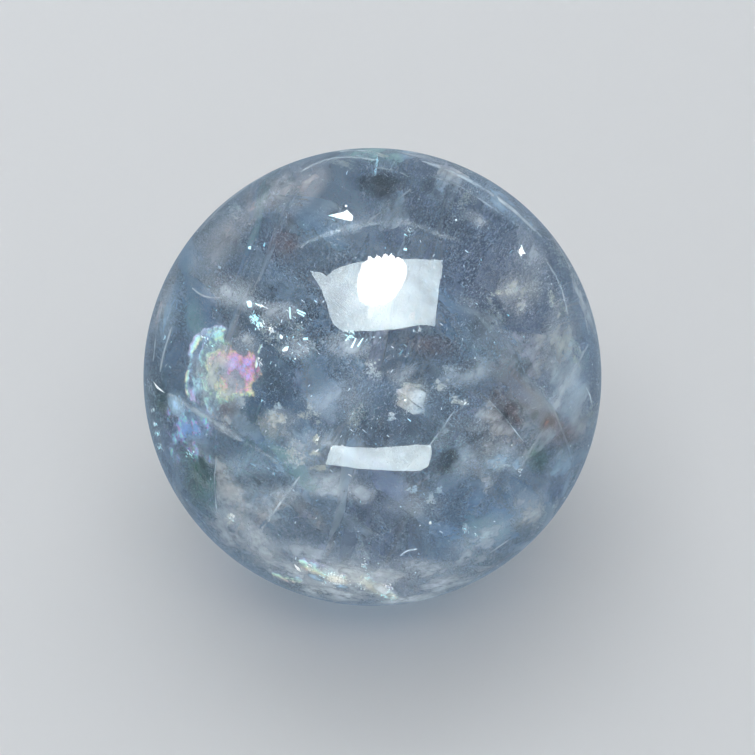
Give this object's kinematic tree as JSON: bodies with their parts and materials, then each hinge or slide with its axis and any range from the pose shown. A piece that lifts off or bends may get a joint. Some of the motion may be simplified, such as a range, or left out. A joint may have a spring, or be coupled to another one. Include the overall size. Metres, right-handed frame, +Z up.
{
  "type": "calcite sphere",
  "caption": "Polished clear grey calcite ball with a small flat ground at its foot, to stand on a shelf, desk or stand.",
  "frame": {"origin": "middle of the ground flat, on the surface that the sphere stands on", "axes": "+Z up, from the middle of the flat through the sphere's centre; -Y towards the side that the picture shows; +X to the viewer's right"},
  "size_m": [0.075, 0.075, 0.0745],
  "materials": {
    "calcite": "polished"
  },
  "bodies": {
    "root": {"calcite_sphere": "calcite"}
  },
  "joints": []
}
